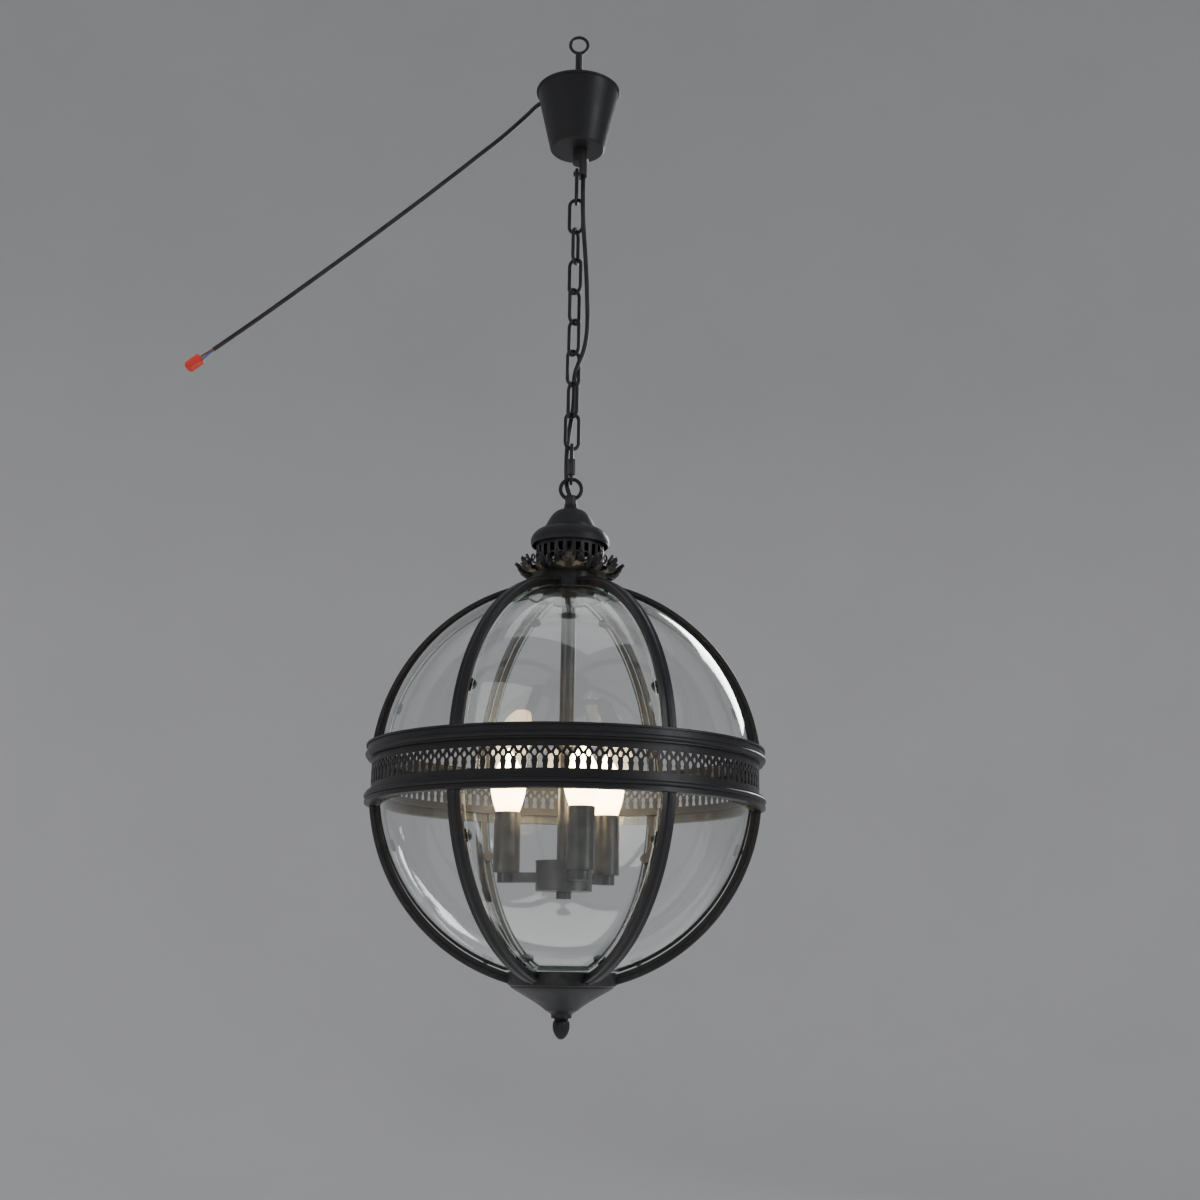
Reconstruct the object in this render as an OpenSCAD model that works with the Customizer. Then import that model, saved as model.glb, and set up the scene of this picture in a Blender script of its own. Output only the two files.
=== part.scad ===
/* [Suspension eye] */
// Clear hole of the eye that the lantern hangs by
eye_hole_d = 16; // [14:0.5:22]
// Wire thickness of the eye
eye_wire_d = 3.5; // [3:0.5:5]
// Diameter of the threaded shank
shank_d = 7.8; // [6.8:0.2:8]
// Diameter of the stud that screws into the boss
stud_d = 4.5; // [4:0.5:5]
// Length of that stud below the cup
stud_h = 8; // [6:0.5:10]
// Drop from the eye's centre to the rim of the ceiling cup
cup_drop = 58; // [48:1:80]

/* [Ceiling cup] */
// Diameter over the rolled rim
cup_d = 93; // [80:1:112]
// Height of the cup
cup_h = 72; // [60:1:87]
// Diameter of the cup's flat floor
cup_floor_d = 59; // [49:1:71]
// Sheet thickness of the cup
cup_wall = 1.2; // [1:0.1:1.5]
// Diameter of the rolled bead on the rim
cup_bead_d = 3; // [2.5:0.1:3.6]

/* [Hanger boss] */
// Diameter of the boss under the cup
boss_d = 16; // [15:0.5:20]
// How far the boss sits to the side of the chain's line
boss_offset = 3; // [2.5:0.1:4]
// Height of the round part of the boss
boss_h = 15.5; // [13:0.5:20]
// Height of the half-round lug below it
lug_h = 15.5; // [13:0.5:19]
// Diameter of the cross stud that the chain hangs on
cross_stud_d = 3.6; // [3:0.1:4.4]
// Diameter of the cord clamp screw
clamp_screw_d = 3; // [2.5:0.5:3.5]
// Distance from the chain's line to the cord bore
cord_bore_x = 7; // [6.8:0.1:7.4]

/* [Flex] */
// Diameter of the two-core flex
flex_d = 4.8; // [4:0.1:5]
// Diameter of one bared core
core_d = 2.2; // [1.8:0.1:2.4]
// Diameter of the terminal connector on the far end
connector_d = 13; // [11:0.5:16]
// Length of the terminal connector
connector_l = 20; // [16:1:26]

/* [Chain] */
// Wire thickness of a chain link
link_wire = 3.8; // [3.2:0.1:4.2]
// Outer length of a chain link
link_length = 43.1; // [38:0.1:52]
// Outer width of a chain link
link_width = 18.6; // [17:0.1:22.4]
// Free play between two links
link_play = 0.2; // [0.1:0.05:0.3]

/* [Quick link] */
// Wire thickness of the screw connector
quick_wire = 4; // [3.2:0.1:4.6]
// Outer length of the screw connector
quick_length = 45.5; // [44:0.5:55]
// Outer width of the screw connector
quick_width = 17; // [16:0.5:20]
// Opening that the threaded sleeve closes
quick_gap = 5.5; // [4.5:0.5:6]
// Length of the threaded sleeve
sleeve_h = 17; // [14:0.5:18]
// Width of the sleeve across its flats
sleeve_af = 7; // [6.5:0.1:8]

/* [Hanging loop] */
// Outer diameter of the loop
loop_d = 25.9; // [24:0.1:31]
// Wire thickness of the loop
loop_wire = 4; // [3.4:0.1:4.6]
// Diameter of the collar under the loop
neck_d = 12; // [11:0.5:15]
// Height of that collar
neck_h = 9; // [8:0.5:11]

/* [Top cap and vent] */
// Diameter over the rim of the bell
bell_d = 54; // [46:1:64]
// Height of the bell
bell_h = 27; // [23:0.5:32]
// Diameter over the rim of the domed hood
hood_d = 82; // [76:1:98]
// Height of the hood
hood_h = 18.5; // [16:0.5:22]
// Diameter over the vent cage
cage_d = 70; // [66:1:74]
// Height from the hood's rim to the crown's floor
cage_h = 29; // [25:0.5:34]
// Number of vent slots
cage_slots = 24; // [16:1:30]
// Sheet thickness of the spun caps
cap_wall = 1.2; // [1:0.1:1.5]

/* [Leaf crown] */
// Diameter over the outer leaves
crown_d = 118; // [104:1:140]
// Height from the crown's floor to its leaf tips
crown_h = 22; // [18:0.5:26]
// Diameter of the crown's floor
crown_floor_d = 82; // [78:1:90]
// Number of leaves in each row
crown_leaves = 12; // [8:1:14]
// Thickness of a leaf
leaf_t = 2; // [1.5:0.1:2.4]

/* [Collar and stem] */
// Diameter of the collar that carries the ribs
collar_d = 57.2; // [48:0.1:68]
// Height of the collar
collar_h = 16; // [14:0.5:20]
// How far the collar's plug reaches into the globe
plug_h = 7; // [6:0.5:9]
// Diameter of the hollow threaded rod
rod_d = 8; // [7.6:0.1:8.6]
// Bore of the hollow threaded rod
rod_bore_d = 5.4; // [5.2:0.1:5.6]
// Diameter of the stem tube
stem_d = 15; // [13:0.5:18]
// Length of the stem tube
stem_h = 269; // [225:1:300]
// Wall of the stem tube
stem_wall = 1.5; // [1:0.1:1.8]

/* [Globe frame] */
// Diameter over the curved ribs
globe_d = 394; // [330:1:473]
// Width of a rib's cap
rib_w = 14; // [12:0.5:17]
// Depth of a rib
rib_depth = 10; // [9:0.5:12]
// Thickness of a rib's web
rib_web = 5; // [4:0.5:6]
// Distance from the band's middle to the centre of each half globe
half_gap = 10; // [8:0.5:12]

/* [Glass] */
// Thickness of a glass panel
glass_t = 3; // [2.5:0.1:4]
// Distance from a rib's middle plane to the glass edge
glass_edge = 4.5; // [4:0.1:4.8]
// Diameter of the opening above the upper panels
glass_top_d = 84; // [76:1:96]
// Diameter of the opening below the lower panels
glass_bottom_d = 114; // [106:1:124]
// Diameter of a glazing button
button_d = 12; // [11:0.5:14]
// Thickness of a glazing button
button_t = 3; // [2:0.5:4]

/* [Waist band] */
// How far the two band rings stand out past the ribs
band_lip = 2.5; // [2.5:0.1:5]
// Height of the upper ring
upper_ring_h = 14; // [12:0.5:17]
// Height of the lower ring
lower_ring_h = 11; // [10:0.5:14]
// Height of the pierced strip between the rings
strip_h = 33; // [28:0.5:39]
// Thickness of the pierced strip
strip_t = 1.5; // [1.2:0.1:2]
// Number of pierced windows around the band
window_count = 126; // [60:6:132]
// Width of one window
window_w = 5.5; // [4:0.1:6]
// Height of one window
window_h = 13; // [10:0.5:15]

/* [Base] */
// Diameter of the base cup where the lower ribs end
base_d = 106; // [90:1:120]
// Height of the base cup's ogee
base_h = 31; // [26:0.5:37]
// Diameter of the acorn finial
finial_d = 18; // [15:0.5:21]
// Height of the acorn finial
finial_h = 20; // [17:0.5:24]

/* [Candle cluster] */
// Radius of the circle that the candles stand on
candle_r = 60; // [52:1:72]
// Diameter of a candle sleeve
candle_d = 27; // [26:0.5:30]
// Height of a candle sleeve
candle_h = 58; // [52:1:70]
// Wall of a candle sleeve
candle_wall = 1.2; // [1:0.1:1.4]
// Direction of the first candle from +X
first_candle_angle = -74; // [-120:1:0]
// Diameter of the hub drum
hub_d = 56; // [47:1:66]
// Height of the hub drum
hub_h = 27.5; // [23:0.5:33]
// Height of an arm
arm_h = 10; // [8:0.5:12]
// Width of an arm
arm_w = 8; // [6:0.5:12]

/* [Bulb] */
// Greatest diameter of the bulb's glass
bulb_d = 36; // [30:1:40]
// Height of the bulb's glass
bulb_h = 71; // [60:1:80]
// Diameter of the bulb's screw cap
cap_d = 13.9; // [13:0.1:14]

/* [Hidden] */
$fn = 96;

// Pieces that have a node each: ribs and glass panels in each half globe, and candles
rib_count = 6;
candle_count = 3;

// Clearances
thread_gap = 0.05;
slip_gap = 0.2;
seat_gap = 0.1;
stud_side_play = 0.6;

// Levels from the eye down to the boss
eye_r = eye_hole_d / 2 + eye_wire_d / 2;
cup_rim_z = -cup_drop;
cup_floor_z = cup_rim_z - cup_h;
cup_floor_top_z = cup_floor_z + cup_wall;
boss_bottom_z = cup_floor_z - boss_h;
lug_bottom_z = boss_bottom_z - lug_h;
cross_stud_z = lug_bottom_z + cross_stud_d / 2 + 1.4;
cord_bore_d = flex_d + 0.4;
lug_face_x = link_wire / 2 + stud_side_play;
clamp_screw_z = boss_bottom_z + 4.5;
boss_right_x = boss_offset + boss_d / 2;
clamp_flat_x = boss_right_x - 0.6;

// Chain: the first link hangs on the cross stud, each next link in the one above
link_yaws = [90, -12, 70, -35, 48, -45, 36, -50, 20];
link_pitch = link_length - 2 * link_wire - link_play;
link_1_z = cross_stud_z + cross_stud_d / 2 + link_play + link_wire - link_length / 2;
last_link_z = link_1_z - (len(link_yaws) - 1) * link_pitch;
last_link_wire_z = last_link_z - link_length / 2 + link_wire / 2;

// Quick link and hanging loop
quick_top_z = last_link_wire_z + link_wire / 2 + link_play + quick_wire;
quick_z = quick_top_z - quick_length / 2;
quick_leg_y = quick_width / 2 - quick_wire / 2;
quick_leg_h = quick_length - quick_width;
quick_leg_bottom_z = quick_z - quick_leg_h / 2;
quick_bottom_wire_z = quick_z - quick_length / 2 + quick_wire / 2;
loop_r = loop_d / 2 - loop_wire / 2;
loop_z = quick_bottom_wire_z + quick_wire / 2 + link_play + loop_wire / 2 - loop_r;
neck_bottom_z = loop_z - loop_r - loop_wire / 2 - 3.8;
rod_top_z = neck_bottom_z + 2.5;

// Caps, crown and collar
bell_bottom_z = neck_bottom_z - bell_h;
hood_bottom_z = bell_bottom_z - hood_h;
hood_r = hood_d / 2;
hood_top_r = bell_d / 2 + 0.5;
dome_h = hood_h * 0.81;
crown_top_z = hood_bottom_z - cage_h;
crown_bottom_z = crown_top_z - leaf_t;
collar_bottom_z = crown_bottom_z - collar_h;
plug_bottom_z = collar_bottom_z - plug_h;
hub_top_z = plug_bottom_z - stem_h;
rod_hole_d = rod_d + 2 * thread_gap;

// Globe: two half globes, one above and one below the waist band
globe_r = globe_d / 2;
rib_inner_r = globe_r - rib_depth;
band_r = globe_r + band_lip;
collar_r = collar_d / 2;
rib_seat_drop = 6.1;
upper_centre_z = crown_bottom_z - rib_seat_drop - sqrt(globe_r * globe_r - collar_r * collar_r);
band_z = upper_centre_z - half_gap;
lower_centre_z = band_z - half_gap;
strip_top_z = band_z + strip_h / 2 - 1.5;
strip_bottom_z = strip_top_z - strip_h;
upper_ring_top_z = strip_top_z + upper_ring_h;
lower_ring_bottom_z = strip_bottom_z - lower_ring_h;
shelf_t = 2;
glass_r = rib_inner_r - 1;
glass_in_r = glass_r - glass_t;
base_r = base_d / 2;
base_wall_top_z = lower_centre_z - sqrt(rib_inner_r * rib_inner_r - base_r * base_r) + 1.3;
base_wall_bottom_z = lower_centre_z - sqrt(globe_r * globe_r - base_r * base_r) - 0.8;
base_bottom_z = base_wall_bottom_z - base_h;

// Candle cluster
hub_lid_t = 2;
hub_bottom_z = hub_top_z - hub_lid_t - hub_h;
hub_nut_h = 7.5;
rod_end_z = hub_bottom_z - hub_nut_h + 2;
arm_top_z = hub_top_z - hub_lid_t - 9;
seat_t = 2;
candle_bottom_z = arm_top_z + seat_t;
candle_top_z = candle_bottom_z + candle_h;
holder_d = candle_d - 2 * candle_wall - 2 * slip_gap;
holder_h = candle_h - 12;
bulb_z = candle_top_z - 6;
bulb_cap_h = 24;

// Flex route inside the ceiling cup, over its rim and away to the side
supply_route = [[7, 0, -138], [7, 0, -130], [7, 0.8, -122], [6, 4.2, -110.5], [2, 9.2, -98],
    [-4, 13.8, -86], [-11, 17.2, -75.5], [-18, 19.8, -66.6], [-24.3, 22, -59.8], [-30, 23.9, -56.3],
    [-36.5, 26, -55.1], [-43, 28, -56.3], [-48.8, 29.8, -59.8], [-57, 32.2, -67.4], [-70, 34.5, -79.4],
    [-85, 36.5, -93], [-99, 37.5, -105.2], [-113, 38, -117.2], [-132, 39, -133.8], [-152, 39.5, -151],
    [-171, 40, -167.5], [-191, 40, -184.7], [-210, 40, -201], [-230, 40, -218], [-249, 40, -234],
    [-269, 40, -250.7], [-288, 40, -266.5], [-307, 40, -282.2], [-326, 40, -297.8], [-345, 40, -313.2],
    [-364, 40, -328.4], [-383, 40, -343.4], [-396, 40, -353.6]];
core_routes = [
    [[-396.4, 41.3, -353.9], [-401, 42.6, -356.9], [-405.7, 43.2, -361.3], [-411.3, 43.2, -365.8]],
    [[-396.4, 38.7, -353.9], [-400.5, 37.4, -357.4], [-405.7, 36.8, -361.3], [-411.3, 36.8, -365.8]]];
connector_angle = 39;
connector_start = [-408, 40, -363.2];

// Sizes that the routes are drawn for, and where the built cup's rim stands from the drawn one
drawn_floor_z = -130;
drawn_rim_z = -58;
drawn_rim_r = 46.5;
drawn_bore_x = 7;
drawn_link_width = 18.6;
bend_count = 11;
rim_shift = [-0.81 * (cup_d / 2 - drawn_rim_r), 0.58 * (cup_d / 2 - drawn_rim_r), cup_rim_z - drawn_rim_z];

// Drawn and built levels inside the cup, and from the cup down to the rod
cup_levels = [[drawn_floor_z - 8, cup_floor_z - 8], [drawn_floor_z, cup_floor_z], [drawn_rim_z, cup_rim_z],
    [drawn_rim_z + 4, cup_rim_z + 4]];
chain_levels = concat([[-560, rod_top_z - 26], [-534, rod_top_z], [-492.25, quick_z]],
    [for (i = [8:-1:0]) [-173.55 - 35.3 * i, link_1_z - i * link_pitch]],
    [[-161, lug_bottom_z], [drawn_floor_z, cup_floor_z], [-120, cup_floor_z + 10]]);

// Point i of the supply route: inside the cup it stretches with the cup, past the rim it moves with the rim
function supply_point(i) = let (p = supply_route[i])
    i >= bend_count ? p + rim_shift
    : let (share = min(1, max(0, (p[2] - drawn_floor_z) / (drawn_rim_z - drawn_floor_z))))
    [p[0] + share * rim_shift[0] + (1 - share) * (cord_bore_x - drawn_bore_x), p[1] + share * rim_shift[1],
        lookup(p[2], cup_levels)];

// Point p of the chain route: it keeps its place against the links, whatever their size
function chain_point(p) =
    let (share = min(1, max(0, (-161 - p[2]) / 40)), wider = 1 + share * (link_width / drawn_link_width - 1))
    [p[0] * wider + (1 - share) * (cord_bore_x - drawn_bore_x), p[1] * wider, lookup(p[2], chain_levels)];

// Flex route from the boss, down beside and through the chain, into the threaded rod
chain_route = [[7, 0, -138], [7, 0, -150], [7, 0, -162], [7, -1, -171], [7, -3.4, -180],
    [7.2, -6, -190], [7.4, -7, -204], [8, -6.6, -218], [9.2, -5, -235], [10.6, -4.4, -252],
    [12.4, -4.6, -279], [13.6, -3.5, -305], [14.4, -2.5, -332], [13.2, -2, -352], [10, -1.5, -368],
    [5.4, -0.6, -380], [2.3, 1.6, -389], [1, 5.4, -398], [1.2, 7.8, -405], [1, 8.8, -416],
    [0.4, 8.8, -428], [-1.4, 8.2, -440], [-2.8, 7, -450], [-4.1, 6.2, -461], [-5, 5.8, -472],
    [-5.4, 5.6, -484], [-5.4, 5.4, -498], [-5, 5.2, -508], [-4.5, 4.7, -514], [-3.5, 3.6, -519],
    [-2.3, 2.3, -523], [-0.9, 0.9, -527.5], [-0.1, 0.1, -532], [0, 0, -536], [0, 0, -560]];

// Unit vector along v
function unit(v) = v / norm(v);

// Point list of a cubic curve with four control points
function curve(p, n) = [for (i = [0:n]) let (t = i / n, s = 1 - t)
    s * s * s * p[0] + 3 * s * s * t * p[1] + 3 * s * t * t * p[2] + t * t * t * p[3]];

// The same list in the opposite order
function backwards(p) = [for (i = [len(p) - 1:-1:0]) p[i]];

// Profile line p moved sideways by w, for the inner face of a spun sheet
function inset(p, w) = [for (i = [0:len(p) - 1])
    let (t = unit(p[min(i + 1, len(p) - 1)] - p[max(i - 1, 0)])) p[i] + w * [t[1], -t[0]]];

// Direction of a route at point i, and the ring of tube points around it
function heading(p, i) = unit(p[min(i + 1, len(p) - 1)] - p[max(i - 1, 0)]);
function tube_ring(p, i, r, sides) =
    let (t = heading(p, i), a = unit(cross(t, [0, 1, 0])), b = cross(t, a))
    [for (k = [0:sides - 1]) p[i] + r * (cos(360 * k / sides) * a + sin(360 * k / sides) * b)];

// Round tube swept along a route
module tube(route, d, sides) {
    last = len(route) - 1;
    sweep = [for (i = [0:last]) each tube_ring(route, i, d / 2, sides)];
    start_cap = [[for (k = [0:sides - 1]) k]];
    end_cap = [[for (k = [sides - 1:-1:0]) last * sides + k]];
    walls = [for (i = [0:last - 1], k = [0:sides - 1])
        [i * sides + k, (i + 1) * sides + k, (i + 1) * sides + (k + 1) % sides, i * sides + (k + 1) % sides]];
    polyhedron(points = sweep, faces = concat(start_cap, walls, end_cap));
}

// Round wire ring standing in the XZ plane
module wire_ring(r, wire) {
    rotate([90, 0, 0]) rotate_extrude() translate([r, 0]) circle(d = wire);
}

// Long wire link standing in the XZ plane
module wire_link(length, width, wire) {
    r = width / 2 - wire / 2;
    half = length / 2 - width / 2;
    for (turn = [0, 180])
        rotate([turn, 0, 0]) translate([0, 0, half]) rotate([90, 0, 0])
            rotate_extrude(angle = 180) translate([r, 0]) circle(d = wire);
    for (x = [-r, r])
        translate([x, 0, -half]) cylinder(d = wire, h = 2 * half);
}

// Spun sheet whose outer line is p
module spun(p, wall) {
    rotate_extrude() polygon(concat(p, backwards(inset(p, wall))));
}

module suspension_eye() {
    color("#2b2b2d") {
        wire_ring(eye_r, eye_wire_d);
        translate([0, 0, cup_floor_top_z]) cylinder(d = shank_d, h = -eye_r - cup_floor_top_z);
        translate([0, 0, cup_floor_z - stud_h]) cylinder(d = stud_d, h = stud_h + cup_wall + 1);
    }
}

module canopy_cup() {
    rim_r = cup_d / 2 - cup_bead_d / 2;
    floor_r = cup_floor_d / 2;
    corner = 3;
    side = unit([rim_r - floor_r, cup_h]);
    side_start = [floor_r, cup_floor_z] + corner * side;
    outer = concat([[stud_d / 2 + slip_gap, cup_floor_z]],
        curve([[floor_r - corner, cup_floor_z], [floor_r - 1, cup_floor_z], [floor_r, cup_floor_z] + side,
            side_start], 6),
        [[rim_r, cup_rim_z - cup_bead_d / 2]]);
    color("#1f1f21") difference() {
        union() {
            spun(outer, -cup_wall);
            translate([0, 0, cup_rim_z - cup_bead_d / 2])
                rotate_extrude() translate([rim_r, 0]) circle(d = cup_bead_d);
        }
        translate([cord_bore_x, 0, cup_floor_z - 1]) cylinder(d = cord_bore_d, h = cup_wall + 2);
    }
}

module hanger_boss() {
    stud_end_x = -link_wire / 2 - stud_side_play;
    color("#232325") difference() {
        union() {
            translate([boss_offset, 0, boss_bottom_z]) cylinder(d = boss_d, h = boss_h);
            intersection() {
                translate([boss_offset, 0, lug_bottom_z]) cylinder(d = boss_d, h = lug_h);
                translate([lug_face_x, -boss_d, lug_bottom_z - 1]) cube([boss_d, 2 * boss_d, lug_h + 2]);
            }
            translate([stud_end_x, 0, cross_stud_z]) rotate([0, 90, 0])
                cylinder(d = cross_stud_d, h = lug_face_x - stud_end_x + 0.5);
            translate([stud_end_x - 1.2, 0, cross_stud_z]) rotate([0, 90, 0])
                cylinder(d = cross_stud_d + 2.6, h = 1.2);
        }
        translate([cord_bore_x, 0, lug_bottom_z - 1]) cylinder(d = cord_bore_d, h = boss_h + lug_h + 2);
        translate([0, 0, cup_floor_z - stud_h - 0.3])
            cylinder(d = stud_d + 2 * thread_gap, h = stud_h + 1);
        translate([cord_bore_x, 0, clamp_screw_z]) rotate([0, 90, 0])
            cylinder(d = clamp_screw_d + 2 * thread_gap, h = boss_d);
        translate([clamp_flat_x, 0, clamp_screw_z]) rotate([0, 90, 0])
            cylinder(d = 2 * clamp_screw_d, h = boss_d);
    }
}

module cord_clamp_screw() {
    tip_x = cord_bore_x + flex_d / 2 + 0.02;
    color("#c9cacc") difference() {
        union() {
            translate([tip_x, 0, clamp_screw_z]) rotate([0, 90, 0])
                cylinder(d = clamp_screw_d, h = clamp_flat_x - tip_x + 1);
            translate([clamp_flat_x, 0, clamp_screw_z]) rotate([0, 90, 0])
                cylinder(d = 2 * clamp_screw_d - 0.6, h = 2.2);
        }
        translate([clamp_flat_x + 1.4, -clamp_screw_d, clamp_screw_z - 0.4])
            cube([2, 2 * clamp_screw_d, 0.8]);
    }
}

module supply_cord() {
    color("#161617") tube([for (i = [0:len(supply_route) - 1]) supply_point(i)], flex_d, 10);
}

module supply_cord_cores() {
    color("#2b4a8c") translate(rim_shift) tube(core_routes[0], core_d, 8);
    color("#6b4426") translate(rim_shift) tube(core_routes[1], core_d, 8);
}

module lead_connector() {
    entry = 3.2;
    color("#b3201c") translate(connector_start + rim_shift) rotate([0, -90 - connector_angle, 0]) difference() {
        rotate_extrude() polygon([[0, 0], [connector_d / 2 - 1.2, 0], [connector_d / 2, 1.2],
            [connector_d / 2, connector_l - 3], [connector_d / 2 - 3, connector_l], [0, connector_l]]);
        for (y = [-entry, entry])
            translate([0, y, -1]) cylinder(d = core_d + 1.2, h = 7);
    }
}

module chain_cord() {
    color("#161617") tube([for (p = chain_route) chain_point(p)], flex_d, 10);
}

module placed_link(i) {
    translate([0, 0, link_1_z - i * link_pitch]) rotate([0, 0, link_yaws[i]])
        wire_link(link_length, link_width, link_wire);
}

module chain_link_top() {
    color("#242426") placed_link(0);
}

module chain_links() {
    color("#242426") for (i = [1:len(link_yaws) - 1]) placed_link(i);
}

module quick_link() {
    gap_z = quick_leg_bottom_z + 3.2;
    color("#2a2a2c") difference() {
        translate([0, 0, quick_z]) rotate([0, 0, 90]) wire_link(quick_length, quick_width, quick_wire);
        translate([-quick_wire, -quick_width, gap_z]) cube([2 * quick_wire, quick_width, quick_gap]);
    }
}

module quick_link_sleeve() {
    color("#303033") translate([0, -quick_leg_y, quick_leg_bottom_z + 0.5]) difference() {
        cylinder(d = sleeve_af / cos(30), h = sleeve_h, $fn = 6);
        translate([0, 0, -1]) cylinder(d = quick_wire + 2 * thread_gap, h = sleeve_h + 2);
    }
}

module hanging_loop() {
    neck_top_z = neck_bottom_z + neck_h;
    color("#222224") difference() {
        union() {
            translate([0, 0, loop_z]) wire_ring(loop_r, loop_wire);
            translate([0, 0, neck_bottom_z]) cylinder(d = neck_d, h = neck_h);
        }
        translate([0, 0, rod_top_z]) cylinder(d1 = rod_bore_d, d2 = neck_d - 2.6, h = neck_top_z - rod_top_z);
        translate([0, 0, neck_top_z]) cylinder(d = neck_d - 2.6, h = loop_wire);
        translate([0, 0, neck_bottom_z - 1]) cylinder(d = rod_hole_d, h = 4);
    }
}

module bell_cap() {
    collar_line = neck_d / 2 + 0.5;
    outer = concat([[rod_hole_d / 2, neck_bottom_z]],
        curve([[collar_line, neck_bottom_z], [collar_line, neck_bottom_z - bell_h * 0.15],
            [bell_d * 0.15, neck_bottom_z - bell_h * 0.23], [bell_d * 0.2, neck_bottom_z - bell_h * 0.25]], 5),
        curve([[bell_d * 0.21, neck_bottom_z - bell_h * 0.255], [bell_d * 0.35, neck_bottom_z - bell_h * 0.31],
            [bell_d * 0.415, neck_bottom_z - bell_h * 0.65], [bell_d * 0.48, neck_bottom_z - bell_h * 0.89]], 8),
        [[bell_d / 2, neck_bottom_z - bell_h * 0.95], [bell_d / 2, bell_bottom_z]]);
    color("#1f1f21") spun(outer, cap_wall);
}

module vent_hood() {
    outer = concat([[hood_top_r - 4, bell_bottom_z], [hood_top_r, bell_bottom_z]],
        curve([[hood_top_r + 0.5, bell_bottom_z - 0.3], [(hood_top_r + hood_r) / 2, bell_bottom_z - hood_h * 0.08],
            [hood_r, bell_bottom_z - hood_h * 0.38], [hood_r, bell_bottom_z - dome_h]], 10),
        [[hood_r - 1, hood_bottom_z]]);
    color("#1f1f21") spun(outer, cap_wall);
}

module vent_cage() {
    cage_r = cage_d / 2;
    share = (cage_r - hood_top_r) / (hood_r - hood_top_r);
    cage_top_z = bell_bottom_z - cap_wall - dome_h * (1 - sqrt(1 - share * share)) - 2;
    slot_w = 5;
    color("#232325") difference() {
        translate([0, 0, crown_top_z]) cylinder(r = cage_r, h = cage_top_z - crown_top_z);
        translate([0, 0, crown_top_z - 1]) cylinder(r = cage_r - 2, h = cage_top_z - crown_top_z + 2);
        for (i = [0:cage_slots - 1])
            rotate([0, 0, 360 * i / cage_slots])
                translate([cage_r - 4, -slot_w / 2, crown_top_z + 3])
                    cube([8, slot_w, cage_h - 6]);
    }
}

// One row of leaves: a flared sheet with round notches between the leaf tips
module leaf_row(outer, tip_r, notch_d, turn) {
    step = 360 / crown_leaves;
    difference() {
        spun(outer, leaf_t);
        for (i = [0:crown_leaves - 1])
            rotate([0, 0, turn + step * i]) translate([tip_r - 12, 0, crown_bottom_z + crown_h])
                rotate([0, 90, 0]) cylinder(d = notch_d, h = 24);
    }
}

module crown() {
    floor_r = crown_floor_d / 2;
    crown_r = crown_d / 2;
    outer_line = curve([[floor_r - 2, crown_bottom_z], [floor_r + 8, crown_bottom_z + 1],
        [crown_r, crown_bottom_z + crown_h * 0.3], [crown_r - 1, crown_bottom_z + crown_h]], 10);
    inner_line = curve([[floor_r - 3, crown_bottom_z + 1], [floor_r, crown_bottom_z + crown_h * 0.4],
        [floor_r + 3, crown_bottom_z + crown_h * 0.7], [floor_r + 7, crown_bottom_z + crown_h + 3]], 8);
    color("#1f1f21") union() {
        difference() {
            translate([0, 0, crown_bottom_z]) cylinder(r = floor_r, h = leaf_t);
            translate([0, 0, crown_bottom_z - 1]) cylinder(d = rod_hole_d, h = leaf_t + 2);
        }
        leaf_row(backwards(outer_line), crown_r, 17, 0);
        leaf_row(backwards(inner_line), floor_r + 5, 13, 180 / crown_leaves);
    }
}

module top_collar() {
    color("#26262a") difference() {
        union() {
            translate([0, 0, plug_bottom_z]) cylinder(r = collar_r - 1, h = collar_h + plug_h);
            translate([0, 0, collar_bottom_z]) cylinder(r = collar_r, h = collar_h);
        }
        translate([0, 0, plug_bottom_z + 2]) cylinder(r = collar_r - 3, h = collar_h + plug_h);
        translate([0, 0, plug_bottom_z - 1]) cylinder(d = rod_hole_d, h = 4);
    }
}

module threaded_rod() {
    color("#8d8d90") difference() {
        translate([0, 0, rod_end_z]) cylinder(d = rod_d, h = rod_top_z - rod_end_z);
        translate([0, 0, rod_end_z - 1]) cylinder(d = rod_bore_d, h = rod_top_z - rod_end_z + 2);
    }
}

module stem_tube() {
    color("#232325") translate([0, 0, hub_top_z]) difference() {
        cylinder(d = stem_d, h = stem_h);
        translate([0, 0, -1]) cylinder(d = stem_d - 2 * stem_wall, h = stem_h + 2);
    }
}

// Cross-section of a rib, from the web against the glass out to the rounded cap
module rib_section() {
    cap_t = 3.2;
    translate([rib_inner_r, -rib_web / 2]) square([rib_depth - 2, rib_web]);
    translate([globe_r - cap_t - 1.6, -rib_w / 2]) square([cap_t, rib_w]);
    translate([globe_r - 3, 0]) circle(d = 6);
}

// Curved rib between the waist band and a round seat of radius end_r
module half_rib(centre_z, foot_h, end_r, direction) {
    foot_angle = asin(foot_h / globe_r);
    color("#1c1c1e") intersection() {
        translate([0, 0, centre_z]) rotate([direction * 90, 0, 0])
            rotate_extrude(start = 0, angle = 90, $fn = 160) rib_section();
        translate([end_r, -rib_w, direction > 0 ? centre_z + foot_h : centre_z - foot_h - 2 * globe_r])
            cube([globe_r, 2 * rib_w, 2 * globe_r]);
    }
}

module upper_rib(i) {
    rotate([0, 0, 360 * i / rib_count])
        half_rib(upper_centre_z, upper_ring_top_z - upper_centre_z, collar_r, 1);
}

module lower_rib(i) {
    rotate([0, 0, 360 * i / rib_count])
        half_rib(lower_centre_z, lower_centre_z - lower_ring_bottom_z, base_r, -1);
}

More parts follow.
